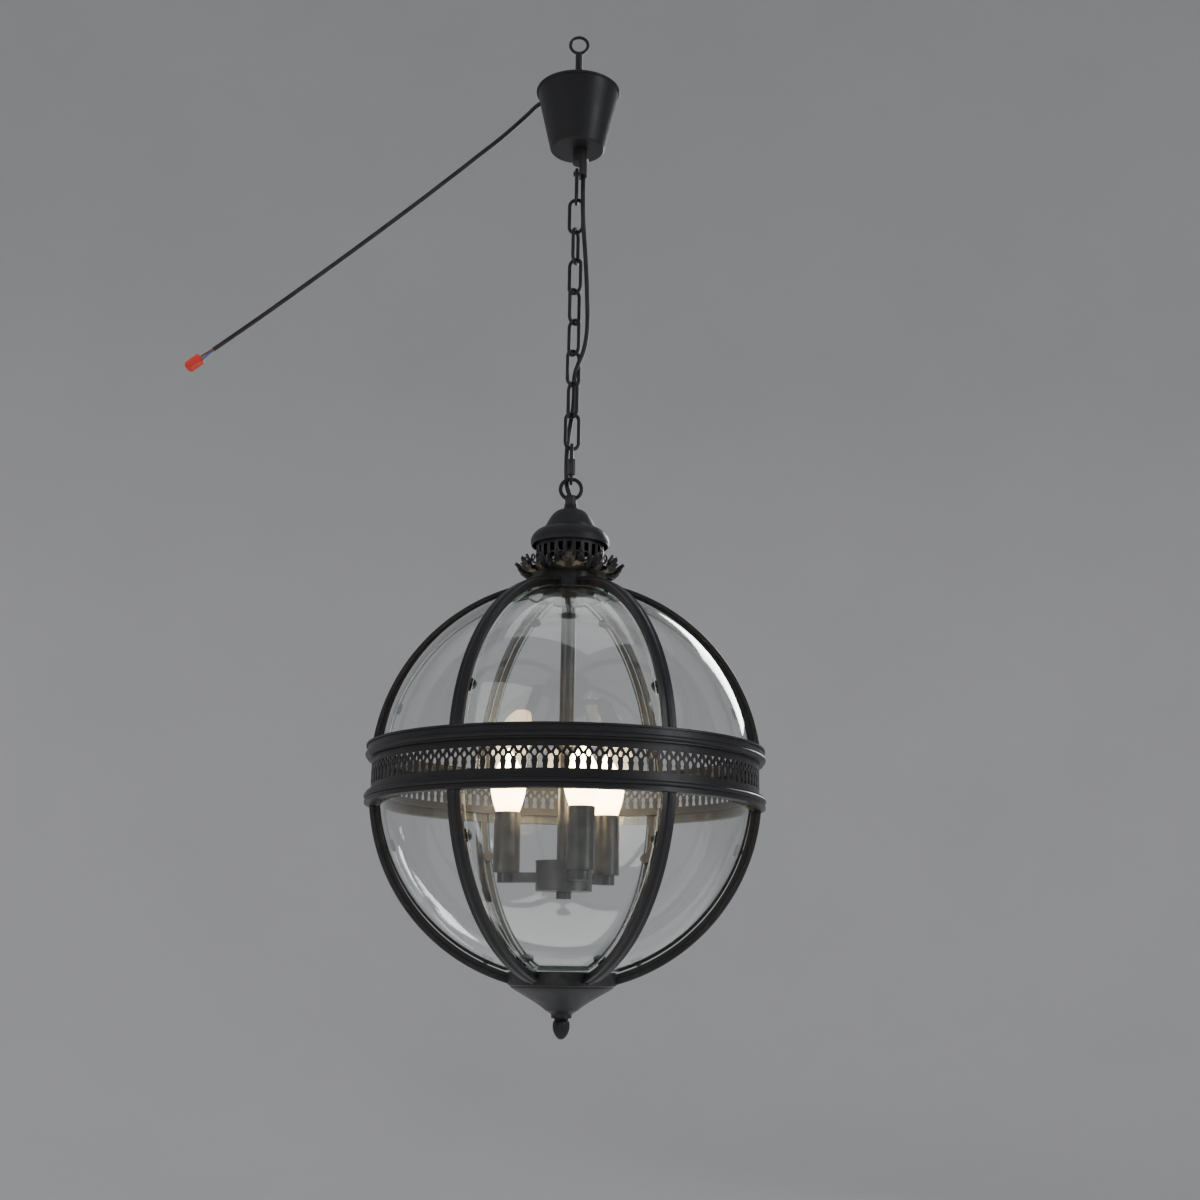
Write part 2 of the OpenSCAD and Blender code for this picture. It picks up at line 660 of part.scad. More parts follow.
// Curved glass between two ribs, from level low_z to the round opening of radius open_r
module half_glass(centre_z, low_z, open_r, direction) {
    half_step = 180 / rib_count;
    apex = glass_edge / sin(half_step);
    reach = 2 * globe_r;
    open_h = sqrt(glass_in_r * glass_in_r - open_r * open_r);
    foot_h = direction * (low_z - centre_z);
    color([0.75, 0.85, 0.85, 0.35]) translate([0, 0, centre_z]) intersection() {
        rotate([direction > 0 ? 0 : 180, 0, 0]) rotate_extrude($fn = 160) intersection() {
            difference() {
                circle(r = glass_r);
                circle(r = glass_in_r);
            }
            translate([open_r, foot_h]) square([globe_r, open_h - foot_h + glass_t]);
        }
        rotate([0, 0, half_step]) translate([0, 0, -globe_r]) linear_extrude(height = 2 * globe_r)
            polygon([[apex, 0], [apex + reach * cos(half_step), -reach * sin(half_step)],
                [apex + reach * cos(half_step), reach * sin(half_step)]]);
    }
}

module upper_glass(i) {
    rotate([0, 0, 360 * i / rib_count])
        half_glass(upper_centre_z, strip_top_z + shelf_t + seat_gap, glass_top_d / 2, 1);
}

module lower_glass(i) {
    rotate([0, 0, 360 * i / rib_count])
        half_glass(lower_centre_z, strip_bottom_z - shelf_t - seat_gap, glass_bottom_d / 2, -1);
}

// Band ring standing on the pierced strip: wall, outer lip, bead and glass shelf
module ring_section(h) {
    translate([rib_inner_r + 3, 0]) square([band_r - 1.5 - rib_inner_r - 3, h]);
    translate([rib_inner_r + 1, h - 2]) square([band_r - rib_inner_r - 1, 2]);
    translate([band_r - 1.9, 4]) circle(d = 5);
    translate([glass_in_r - 1, 0]) square([rib_inner_r - glass_in_r + 5, shelf_t]);
}

module band_ring_upper() {
    color("#1d1d1f") translate([0, 0, strip_top_z]) rotate_extrude($fn = 180) ring_section(upper_ring_h);
}

module band_ring_lower() {
    color("#1d1d1f") translate([0, 0, strip_bottom_z]) rotate([180, 0, 0])
        rotate_extrude($fn = 180) ring_section(lower_ring_h);
}

module pierced_band() {
    strip_r = band_r - 6;
    window_z = strip_bottom_z + strip_h * 0.4;
    color("#1d1d1f") difference() {
        translate([0, 0, strip_bottom_z]) cylinder(r = strip_r, h = strip_h, $fn = 180);
        translate([0, 0, strip_bottom_z - 1]) cylinder(r = strip_r - strip_t, h = strip_h + 2, $fn = 180);
        for (i = [0:window_count - 1])
            rotate([0, 0, 360 * (i + 0.5) / window_count])
                translate([strip_r - 2 * strip_t, 0, window_z]) rotate([90, 0, 90])
                    linear_extrude(height = 3 * strip_t) window();
    }
}

// Arched window, standing on the origin of its own plane
module window() {
    translate([-window_w / 2, 1 - window_h / 2]) square([window_w, window_h - 1 - window_w / 2]);
    translate([0, window_h / 2 - window_w / 2]) circle(d = window_w, $fn = 24);
}

// Turned button whose shank passes between two glass panels
module button(centre_z, height, direction) {
    tilt = acos(height / glass_r);
    translate([0, 0, centre_z]) rotate([0, direction > 0 ? tilt : 180 - tilt, 0]) {
        translate([0, 0, glass_in_r - button_t - 0.3]) cylinder(d = button_d, h = button_t);
        translate([0, 0, glass_in_r - 1]) cylinder(d = 4.6, h = rib_inner_r - glass_in_r + 0.8);
    }
}

module glass_buttons() {
    upper_levels = [glass_r * 0.33, glass_r * 0.913];
    lower_levels = [glass_r * 0.32, glass_r * 0.915];
    color("#1a1a1b") for (i = [0:rib_count - 1]) rotate([0, 0, 360 * i / rib_count]) {
        for (h = upper_levels) button(upper_centre_z, h, 1);
        for (h = lower_levels) button(lower_centre_z, h, -1);
    }
}

module base_cup() {
    neck_r = finial_d / 2 + 1;
    outer = concat([[base_r, base_wall_top_z], [base_r, base_wall_bottom_z],
        [base_r - 2.5, base_wall_bottom_z - 1.2]],
        curve([[base_r - 3, base_wall_bottom_z - 2.5], [base_r - 9, base_wall_bottom_z - base_h * 0.225],
            [base_r * 0.566, base_wall_bottom_z - base_h * 0.42], [neck_r + 8, base_bottom_z + 9]], 10),
        curve([[neck_r + 6.5, base_bottom_z + 7.6], [neck_r + 3, base_bottom_z + 5],
            [neck_r, base_bottom_z + 5], [neck_r, base_bottom_z + 2]], 5),
        [[neck_r, base_bottom_z], [2, base_bottom_z]]);
    color("#1f1f21") spun(outer, 1.6);
}

module finial() {
    r = finial_d / 2;
    top = base_bottom_z - slip_gap;
    color("#1d1d1f") rotate_extrude() polygon(concat(
        [[0, top], [r - 2, top], [r - 2.5, top - 1.4]],
        curve([[r, top - 2.4], [r + 0.6, top - finial_h * 0.5], [r - 1, top - finial_h * 0.85],
            [2.5, top - finial_h + 0.3]], 10),
        [[0, top - finial_h]]));
}

module cluster_hub() {
    color("#1f1f21") translate([0, 0, hub_bottom_z]) difference() {
        cylinder(d = hub_d, h = hub_h);
        translate([0, 0, 1.6]) cylinder(d = hub_d - 3.2, h = hub_h);
        translate([0, 0, -1]) cylinder(d = rod_hole_d, h = 4);
        for (i = [0:candle_count - 1])
            rotate([0, 0, first_candle_angle + 360 * i / candle_count])
                translate([hub_d / 2 - 4, -1.5, arm_top_z - arm_h / 2 - 1.5 - hub_bottom_z]) cube([8, 3, 3]);
    }
}

module hub_lid() {
    color("#1f1f21") translate([0, 0, hub_top_z - hub_lid_t]) difference() {
        cylinder(d = hub_d + 1, h = hub_lid_t);
        translate([0, 0, -1]) cylinder(d = rod_hole_d, h = hub_lid_t + 2);
    }
}

module hub_nut() {
    color("#2a2a2c") translate([0, 0, hub_bottom_z - hub_nut_h]) difference() {
        cylinder(d = stem_d, h = hub_nut_h);
        translate([0, 0, 1.8]) cylinder(d = rod_hole_d, h = hub_nut_h);
    }
}

module cluster_arms() {
    color("#1f1f21") for (i = [0:candle_count - 1])
        rotate([0, 0, first_candle_angle + 360 * i / candle_count]) difference() {
            union() {
                translate([hub_d / 2 + seat_gap, -arm_w / 2, arm_top_z - arm_h])
                    cube([candle_r - hub_d / 2 - seat_gap, arm_w, arm_h]);
                translate([candle_r, 0, arm_top_z - arm_h]) cylinder(d = 18, h = arm_h);
                translate([candle_r, 0, arm_top_z]) cylinder(d = candle_d, h = seat_t);
            }
            translate([hub_d / 2 - 1, -1.5, arm_top_z - arm_h / 2 - 1.5])
                cube([candle_r - hub_d / 2 + 1, 3, 3]);
            translate([candle_r, 0, arm_top_z - arm_h / 2 - 1.5]) cylinder(d = 3.4, h = arm_h);
        }
}

module candle_sleeves() {
    color("#202022") at_candles() difference() {
        cylinder(d = candle_d, h = candle_h);
        translate([0, 0, -1]) cylinder(d = candle_d - 2 * candle_wall, h = candle_h + 2);
    }
}

// Copies its children to the foot of every candle
module at_candles() {
    for (i = [0:candle_count - 1]) at_candle(i) children();
}

module at_candle(i) {
    rotate([0, 0, first_candle_angle + 360 * i / candle_count])
        translate([candle_r, 0, candle_bottom_z]) children();
}

module lampholders() {
    color("#d8d4c8") at_candles() difference() {
        cylinder(d = holder_d, h = holder_h);
        translate([0, 0, holder_h - 22]) cylinder(d = cap_d + 0.2, h = 30);
        translate([0, 0, -1]) cylinder(d = 3.4, h = holder_h);
    }
}

module bulb(i) {
    r = bulb_d / 2;
    neck_r = candle_d / 2 - candle_wall - 2.3;
    wide_h = bulb_h * 0.45;
    outline = concat([[0, 0]],
        curve([[neck_r, 0], [neck_r + 0.6, bulb_h * 0.08], [r * 0.92, bulb_h * 0.225], [r, wide_h]], 10),
        curve([[r, wide_h], [r, bulb_h * 0.62], [r * 0.42, bulb_h * 0.84], [2.2, bulb_h * 0.965]], 12),
        [[0, bulb_h]]);
    color([1, 0.85, 0.6, 0.9]) at_candle(i) translate([0, 0, bulb_z - candle_bottom_z]) {
        rotate_extrude() polygon(outline);
        translate([0, 0, -bulb_cap_h + 3]) cylinder(d = cap_d, h = bulb_cap_h - 3);
        translate([0, 0, -bulb_cap_h]) cylinder(d1 = 5, d2 = cap_d, h = 3);
    }
}

suspension_eye();
canopy_cup();
hanger_boss();
cord_clamp_screw();
supply_cord();
supply_cord_cores();
lead_connector();
chain_cord();
chain_link_top();
chain_links();
quick_link();
quick_link_sleeve();
hanging_loop();
bell_cap();
vent_hood();
vent_cage();
crown();
top_collar();
threaded_rod();
stem_tube();
upper_rib(0);  // upper_rib_1
upper_rib(1);  // upper_rib_2
upper_rib(2);  // upper_rib_3
upper_rib(3);  // upper_rib_4
upper_rib(4);  // upper_rib_5
upper_rib(5);  // upper_rib_6
lower_rib(0);  // lower_rib_1
lower_rib(1);  // lower_rib_2
lower_rib(2);  // lower_rib_3
lower_rib(3);  // lower_rib_4
lower_rib(4);  // lower_rib_5
lower_rib(5);  // lower_rib_6
upper_glass(0);  // upper_glass_1
upper_glass(1);  // upper_glass_2
upper_glass(2);  // upper_glass_3
upper_glass(3);  // upper_glass_4
upper_glass(4);  // upper_glass_5
upper_glass(5);  // upper_glass_6
lower_glass(0);  // lower_glass_1
lower_glass(1);  // lower_glass_2
lower_glass(2);  // lower_glass_3
lower_glass(3);  // lower_glass_4
lower_glass(4);  // lower_glass_5
lower_glass(5);  // lower_glass_6
band_ring_upper();
band_ring_lower();
pierced_band();
glass_buttons();
base_cup();
finial();
cluster_hub();
hub_lid();
hub_nut();
cluster_arms();
candle_sleeves();
lampholders();
bulb(0);  // bulb_1
bulb(1);  // bulb_2
bulb(2);  // bulb_3
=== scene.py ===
import math

import bpy
import bmesh
from mathutils import Matrix, Vector
from mathutils.geometry import tessellate_polygon


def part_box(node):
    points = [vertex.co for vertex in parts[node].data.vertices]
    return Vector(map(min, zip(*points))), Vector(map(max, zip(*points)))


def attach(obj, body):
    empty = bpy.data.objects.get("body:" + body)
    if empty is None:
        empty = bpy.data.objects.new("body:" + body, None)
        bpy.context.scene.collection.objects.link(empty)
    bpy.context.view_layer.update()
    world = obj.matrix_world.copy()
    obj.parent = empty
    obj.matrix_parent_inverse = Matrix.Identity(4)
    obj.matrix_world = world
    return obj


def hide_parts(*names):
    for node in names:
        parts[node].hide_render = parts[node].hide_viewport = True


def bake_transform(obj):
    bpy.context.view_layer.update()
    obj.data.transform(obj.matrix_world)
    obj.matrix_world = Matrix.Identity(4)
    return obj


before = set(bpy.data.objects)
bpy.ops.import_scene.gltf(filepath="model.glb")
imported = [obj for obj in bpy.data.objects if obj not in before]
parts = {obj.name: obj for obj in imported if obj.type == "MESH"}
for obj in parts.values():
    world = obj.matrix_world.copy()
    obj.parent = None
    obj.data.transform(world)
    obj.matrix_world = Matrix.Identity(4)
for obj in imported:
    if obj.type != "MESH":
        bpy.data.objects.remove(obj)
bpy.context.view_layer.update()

# ---------------------------------------------------------------- viewpoint
# The eye stands 1.6 m in front of the chain, level with the candle hub, and looks up at the globe.
viewpoint = bpy.data.objects.new("viewpoint", bpy.data.cameras.new("viewpoint"))
viewpoint.data.sensor_width = 36.0
viewpoint.data.lens = 47.1
viewpoint.matrix_world = (Matrix.Translation((0.03196, -1.577, -1.0024))
                          @ Matrix.Rotation(math.radians(103), 4, "X")
                          @ Matrix.Rotation(math.radians(0.8), 4, "Z"))
bpy.context.scene.collection.objects.link(viewpoint)
bpy.context.scene.camera = viewpoint

# ---------------------------------------------------------------- supply flex
# Two-core round flex with a black PVC sheath. It leaves the hanger's bore inside the ceiling cup,
# bends over the cup's rim and is held taut to the side, where its bared cores enter a connector.
FLEX_D = 0.0048
CORE_D = 0.0022
supply_route = [(7, 0, -138), (7, 0, -130), (7, 0.8, -122), (6, 4.2, -110.5), (2, 9.2, -98),
    (-4, 13.8, -86), (-11, 17.2, -75.5), (-18, 19.8, -66.6), (-24.3, 22, -59.8), (-30, 23.9, -56.3),
    (-36.5, 26, -55.1), (-43, 28, -56.3), (-48.8, 29.8, -59.8), (-57, 32.2, -67.4), (-70, 34.5, -79.4),
    (-85, 36.5, -93), (-99, 37.5, -105.2), (-113, 38, -117.2), (-132, 39, -133.8), (-152, 39.5, -151),
    (-171, 40, -167.5), (-191, 40, -184.7), (-210, 40, -201), (-230, 40, -218), (-249, 40, -234),
    (-269, 40, -250.7), (-288, 40, -266.5), (-307, 40, -282.2), (-326, 40, -297.8), (-345, 40, -313.2),
    (-364, 40, -328.4), (-383, 40, -343.4), (-396, 40, -353.6)]
core_routes = {
    "blue": [(-396.4, 41.3, -353.9), (-401, 42.6, -356.9), (-405.7, 43.2, -361.3), (-411.3, 43.2, -365.8)],
    "brown": [(-396.4, 38.7, -353.9), (-400.5, 37.4, -357.4), (-405.7, 36.8, -361.3), (-411.3, 36.8, -365.8)]}


def metres(points):
    return [Vector(p) / 1000 for p in points]


def add(tree, kind, sockets=None, **settings):
    made = tree.nodes.new(kind)
    for key, value in settings.items():
        setattr(made, key, value)
    for key, value in (sockets or {}).items():
        if isinstance(value, bpy.types.NodeSocket):
            tree.links.new(value, made.inputs[key])
        else:
            made.inputs[key].default_value = value
    return made


def speckle(tree, place, scale, detail=3.0, roughness=0.6):
    return add(tree, "ShaderNodeTexNoise",
               {"Vector": place, "Scale": scale, "Detail": detail, "Roughness": roughness}).outputs[0]


def span(tree, value, low, high, out_low=0.0, out_high=1.0):
    return add(tree, "ShaderNodeMapRange",
               {"Value": value, "From Min": low, "From Max": high, "To Min": out_low, "To Max": out_high}).outputs[0]


def mixed(tree, share, first, second):
    blend = add(tree, "ShaderNodeMix", {0: share}, data_type="RGBA")
    for socket, colour in ((blend.inputs[6], first), (blend.inputs[7], second)):
        if isinstance(colour, bpy.types.NodeSocket):
            tree.links.new(colour, socket)
        else:
            socket.default_value = (*colour, 1)
    return blend.outputs[2]


def embossed(tree, height, depth, strength=1.0):
    return add(tree, "ShaderNodeBump", {"Height": height, "Distance": depth, "Strength": strength}).outputs[0]


def new_finish(name):
    finish = bpy.data.materials.new(name)
    finish.use_nodes = True
    tree = finish.node_tree
    tree.nodes.clear()
    out = add(tree, "ShaderNodeOutputMaterial")
    shader = add(tree, "ShaderNodeBsdfPrincipled")
    tree.links.new(shader.outputs[0], out.inputs[0])
    place = add(tree, "ShaderNodeTexCoord").outputs["Object"]
    return finish, tree, shader, place


def feed(tree, shader, **sockets):
    for key, value in sockets.items():
        socket = shader.inputs[key.replace("_", " ")]
        if isinstance(value, bpy.types.NodeSocket):
            tree.links.new(value, socket)
        else:
            socket.default_value = value


def pvc(name, colour, lighter):
    finish, tree, shader, place = new_finish(name)
    cloud = speckle(tree, place, 60)
    grain = speckle(tree, place, 2600, 2)
    feed(tree, shader, Base_Color=mixed(tree, span(tree, cloud, 0.35, 0.7), colour, lighter),
         Roughness=span(tree, cloud, 0.3, 0.7, 0.34, 0.52), IOR=1.53,
         Normal=embossed(tree, grain, 0.00012, 0.5))
    return finish


def show(obj, body, finish):
    obj.data.materials.clear()
    obj.data.materials.append(finish)
    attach(obj, body)
    return obj


def routed_curve(name, points, diameter):
    line = bpy.data.curves.new(name, "CURVE")
    line.dimensions = "3D"
    line.resolution_u = 5
    line.bevel_depth = diameter / 2
    line.bevel_resolution = 5
    line.use_fill_caps = True
    spline = line.splines.new("BEZIER")
    spline.bezier_points.add(len(points) - 1)
    for knot, p in zip(spline.bezier_points, points):
        knot.co = p
        knot.handle_left_type = knot.handle_right_type = "AUTO"
    obj = bpy.data.objects.new(name, line)
    bpy.context.scene.collection.objects.link(obj)
    return obj


black_pvc = pvc("black_pvc_sheath", (0.012, 0.012, 0.013), (0.03, 0.03, 0.032))
core_finishes = {"blue": pvc("blue_core_pvc", (0.03, 0.09, 0.42), (0.06, 0.14, 0.55)),
                 "brown": pvc("brown_core_pvc", (0.13, 0.05, 0.02), (0.2, 0.08, 0.035))}
supply_points = metres(supply_route)
supply_flex = show(routed_curve("supply_flex", supply_points, FLEX_D), "ceiling_mount", black_pvc)
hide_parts("supply_cord")
cores = [show(routed_curve(f"{shade}_core", metres(route), CORE_D), "ceiling_mount", core_finishes[shade]) for shade, route in core_routes.items()]
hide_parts("supply_cord_cores")

# Red terminal connector that the bared cores end in, a one-piece moulding with a domed top.
red_moulding, tree, shader, place = new_finish("red_moulding")
swirl = speckle(tree, place, 120)
feed(tree, shader, Base_Color=mixed(tree, swirl, (0.55, 0.03, 0.02), (0.72, 0.06, 0.04)),
     Roughness=span(tree, swirl, 0.3, 0.7, 0.28, 0.42), Subsurface_Weight=0.05, IOR=1.5,
     Normal=embossed(tree, speckle(tree, place, 1500), 0.0001, 0.4))
parts["lead_connector"].data.materials.clear()
parts["lead_connector"].data.materials.append(red_moulding)

# ---------------------------------------------------------------- studio
# Pale plaster cove that curves up all round, with soft boxes and an even grey sky above its open top.
pale_plaster, tree, shader, place = new_finish("pale_plaster")
trowel = speckle(tree, place, 1.7, 5)
feed(tree, shader, Base_Color=mixed(tree, trowel, (0.60, 0.60, 0.61), (0.66, 0.66, 0.67)), Roughness=0.9,
     Normal=embossed(tree, speckle(tree, place, 60), 0.001, 0.2))


def turned(name, outline, around=64, flutes=None, closed=True):
    """A lathe-turned mesh: outline is a list of (radius, height) in metres."""
    mesh = bmesh.new()
    rows = []
    for r, z in outline:
        if r < 1e-6:
            rows.append([mesh.verts.new((0, 0, z))])
            continue
        rows.append([])
        for k in range(around):
            turn = 2 * math.pi * k / around
            reach = r * (flutes(turn, z) if flutes else 1)
            rows[-1].append(mesh.verts.new((reach * math.cos(turn), reach * math.sin(turn), z)))
    pairs = list(zip(rows, rows[1:])) + ([(rows[-1], rows[0])] if closed else [])
    for low, high in pairs:
        if len(low) == len(high) == 1:
            continue
        for k in range(around):
            face = [low[k % len(low)], low[(k + 1) % len(low)], high[(k + 1) % len(high)], high[k % len(high)]]
            face = [v for i, v in enumerate(face) if v not in face[:i]]
            mesh.faces.new(face)
    bmesh.ops.recalc_face_normals(mesh, faces=mesh.faces)
    return finished_mesh(name, mesh)


def finished_mesh(name, mesh, sharp=35):
    data = bpy.data.meshes.new(name)
    mesh.to_mesh(data)
    mesh.free()
    data.polygons.foreach_set("use_smooth", [True] * len(data.polygons))
    data.set_sharp_from_angle(angle=math.radians(sharp))
    obj = bpy.data.objects.new(name, data)
    bpy.context.scene.collection.objects.link(obj)
    return obj


FLOOR_Z = -1.7
sweep = [(3.2 + 1.2 * math.sin(a), FLOOR_Z + 1.2 - 1.2 * math.cos(a)) for a in [math.pi / 2 * k / 16 for k in range(17)]]
cove = turned("studio_cove", [(0, FLOOR_Z), (1.5, FLOOR_Z), *sweep, (4.4, 3.9)], 96, closed=False)
cove.data.materials.append(pale_plaster)

sky = bpy.data.worlds.new("studio_sky")
sky.use_nodes = True
sky.node_tree.nodes["Background"].inputs["Color"].default_value = (0.78, 0.8, 0.84, 1)
sky.node_tree.nodes["Background"].inputs["Strength"].default_value = 0.35
bpy.context.scene.world = sky
for name, spot, size, watts, tint in (
        ("key_soft_box", (-2.2, -2.3, 0.5), (2.0, 2.6), 46, (1, 0.98, 0.95)),
        ("side_soft_box", (2.4, -1.3, -0.3), (0.5, 2.2), 16, (0.95, 0.97, 1)),
        ("top_soft_box", (0.2, 0.3, 1.7), (2.2, 2.2), 34, (1, 1, 1)),
        ("back_soft_box", (1.2, 2.4, 0.3), (1.0, 1.0), 26, (0.96, 0.98, 1))):
    lamp = bpy.data.lights.new(name, "AREA")
    lamp.shape, lamp.size, lamp.size_y, lamp.energy, lamp.color = "RECTANGLE", *size, watts, tint
    box = bpy.data.objects.new(name, lamp)
    box.visible_glossy = name in ("side_soft_box", "back_soft_box")
    box.matrix_world = (Matrix.Translation(spot)
                        @ (Vector((0, 0, -0.75)) - Vector(spot)).to_track_quat("-Z", "Y").to_matrix().to_4x4())
    bpy.context.scene.collection.objects.link(box)

# ---------------------------------------------------------------- ceiling cup and hanger
# Spun steel cup in satin black enamel, open at the top, with a rolled bead round its rim.
# The sprayed coat has a fine grain, a little dust on what faces up and paler rubbed edges.


def sprayed_enamel(name, colour, roughness, grain=1500, grain_depth=0.00014, dust=0.12):
    finish, tree, shader, place = new_finish(name)
    cloud = speckle(tree, place, 14, 4)
    patch = speckle(tree, place, 70, 4)
    orange_peel = speckle(tree, place, grain, 2)
    geometry = add(tree, "ShaderNodeNewGeometry").outputs
    up = add(tree, "ShaderNodeSeparateXYZ", {0: geometry["Normal"]}).outputs[2]
    settled = add(tree, "ShaderNodeMath", {0: span(tree, up, 0.55, 1.0, 0, dust), 1: span(tree, patch, 0.35, 0.7)},
                  operation="MULTIPLY").outputs[0]
    rubbed = add(tree, "ShaderNodeMath", {0: span(tree, geometry["Pointiness"], 0.53, 0.62),
                                          1: span(tree, patch, 0.42, 0.62, 0, 0.45)}, operation="MULTIPLY").outputs[0]
    lighter = tuple(1.6 * c + 0.002 for c in colour)
    coat = mixed(tree, span(tree, cloud, 0.3, 0.7), colour, lighter)
    coat = mixed(tree, settled, coat, (0.09, 0.086, 0.08))
    coat = mixed(tree, rubbed, coat, (0.07, 0.068, 0.066))
    sheen = span(tree, patch, 0.25, 0.75, roughness - 0.06, roughness + 0.09)
    feed(tree, shader, Base_Color=coat, Roughness=sheen, IOR=1.5,
         Normal=embossed(tree, orange_peel, grain_depth, 0.55))
    return finish


def refinish(finish, *nodes):
    for name in nodes:
        parts[name].data.materials.clear()
        parts[name].data.materials.append(finish)


satin_black = sprayed_enamel("satin_black_enamel", (0.009, 0.009, 0.010), 0.4)
refinish(satin_black, "canopy_cup")

# Eye bolt: a forged eye on a fully threaded shank. The lantern hangs from the ceiling hook by it,
# and its thinner stud screws into the boss under the cup.
EYE_RING_R, EYE_WIRE = 0.00975, 0.0035
SHANK_R, STUD_R, THREAD_PITCH = 0.0039, 0.00225, 0.0013


def threaded_outline(mesh, radius, depth, pitch, top, bottom, around=24):
    """A solid screw: rings of vertices whose radius follows a helical V thread."""
    count = int((top - bottom) / (pitch / 4))
    rings = []
    for i in range(count + 1):
        z = top + (bottom - top) * i / count
        ring = []
        for k in range(around):
            wave = abs(((top - z) / pitch + k / around) % 1 - 0.5) * 2
            fade = min(1, (top - z) / pitch, (z - bottom) / pitch)
            r = radius - depth * (1 - wave) * fade - 0.0003 * (1 - fade)
            ring.append(mesh.verts.new((r * math.cos(2 * math.pi * k / around),
                                        r * math.sin(2 * math.pi * k / around), z)))
        rings.append(ring)
    for upper, lower in zip(rings, rings[1:]):
        for k in range(around):
            mesh.faces.new([upper[k], lower[k], lower[(k + 1) % around], upper[(k + 1) % around]])
    mesh.faces.new(rings[0])
    mesh.faces.new(rings[-1][::-1])


def bent_wire(mesh, points, radius, around=14, closed=False, taper=None):
    """A round wire swept along points, with flat ends unless it is closed."""
    count = len(points)
    rings, side = [], Vector((0, 1, 0))
    for i, p in enumerate(points):
        before = points[(i - 1) % count] if closed or i else p
        after = points[(i + 1) % count] if closed or i < count - 1 else p
        along = (after - before).normalized()
        across = along.cross(side).normalized()
        side = across.cross(along).normalized()
        r = radius * (taper(i / (count - 1)) if taper else 1)
        rings.append([mesh.verts.new(p + r * (math.cos(a) * across + math.sin(a) * side))
                      for a in [2 * math.pi * k / around for k in range(around)]])
    for i in range(count if closed else count - 1):
        near, far = rings[i], rings[(i + 1) % count]
        for k in range(around):
            mesh.faces.new([near[k], near[(k + 1) % around], far[(k + 1) % around], far[k]])
    if not closed:
        mesh.faces.new(rings[0][::-1])
        mesh.faces.new(rings[-1])


mesh = bmesh.new()
bent_wire(mesh, [Vector((EYE_RING_R * math.cos(a), 0, EYE_RING_R * math.sin(a)))
                 for a in [2 * math.pi * k / 56 for k in range(56)]], EYE_WIRE / 2, closed=True)
threaded_outline(mesh, SHANK_R, 0.00055, THREAD_PITCH, -0.0108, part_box("canopy_cup")[0].z + 0.0012)
threaded_outline(mesh, STUD_R, 0.0003, 0.0008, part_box("canopy_cup")[0].z + 0.002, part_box("suspension_eye")[0].z)
bmesh.ops.recalc_face_normals(mesh, faces=mesh.faces)
forged_black = sprayed_enamel("forged_black_steel", (0.013, 0.013, 0.014), 0.36, 900, 0.0002)
eye_bolt = show(finished_mesh("eye_bolt", mesh, 60), "ceiling_mount", forged_black)
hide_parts("suspension_eye")

# Turned boss with its half-round lug, and the bright zinc screw that clamps the flex in its bore.
refinish(forged_black, "hanger_boss")


def plated(name, colour, darker, roughness, scratch=900):
    finish, tree, shader, place = new_finish(name)
    stretched = add(tree, "ShaderNodeMapping", {"Vector": place, "Scale": (1, 1, 9)}).outputs[0]
    brushed = speckle(tree, stretched, scratch, 3)
    cloud = speckle(tree, place, 90)
    feed(tree, shader, Base_Color=mixed(tree, cloud, colour, darker), Metallic=1.0,
         Roughness=span(tree, brushed, 0.3, 0.7, roughness - 0.07, roughness + 0.1),
         Normal=embossed(tree, brushed, 0.00006, 0.5))
    return finish


refinish(plated("bright_zinc_screw", (0.78, 0.79, 0.8), (0.62, 0.63, 0.65), 0.24), "cord_clamp_screw")

# ---------------------------------------------------------------- chain
# Nine long links of black enamelled wire, each hung in the one above at its own turn.
chain_black = sprayed_enamel("chain_black_enamel", (0.011, 0.011, 0.012), 0.38, 1100, 0.00016, 0.08)
refinish(chain_black, "chain_link_top", "chain_links")

# Flex that drops from the boss, runs beside the chain and through its last links to the loop.
# It is made as four lengths, one after another down the route.
chain_route = [(7, 0, -138), (7, 0, -150), (7, 0, -162), (7, -1, -171), (7, -3.4, -180),
    (7.2, -6, -190), (7.4, -7, -204), (8, -6.6, -218), (9.2, -5, -235), (10.6, -4.4, -252),
    (12.4, -4.6, -279), (13.6, -3.5, -305), (14.4, -2.5, -332), (13.2, -2, -352), (10, -1.5, -368),
    (5.4, -0.6, -380), (2.3, 1.6, -389), (1, 5.4, -398), (1.2, 7.8, -405), (1, 8.8, -416),
    (0.4, 8.8, -428), (-1.4, 8.2, -440), (-2.8, 7, -450), (-4.1, 6.2, -461), (-5, 5.8, -472),
    (-5.4, 5.6, -484), (-5.4, 5.4, -498), (-5, 5.2, -508), (-4.5, 4.7, -514), (-3.5, 3.6, -519),
    (-2.3, 2.3, -523), (-0.9, 0.9, -527.5), (-0.1, 0.1, -532), (0, 0, -536), (0, 0, -560)]


def eased(points, steps=4):
    """The same route with points between, on one smooth curve through all of them."""
    smooth = []
    for i in range(len(points) - 1):
        a, b = points[max(i - 1, 0)], points[i]
        c, d = points[i + 1], points[min(i + 2, len(points) - 1)]
        for k in range(steps):
            t = k / steps
            smooth.append(0.5 * (2 * b + (c - a) * t + (2 * a - 5 * b + 4 * c - d) * t * t
                                 + (3 * b - a - 3 * c + d) * t ** 3))
    return smooth + [points[-1]]


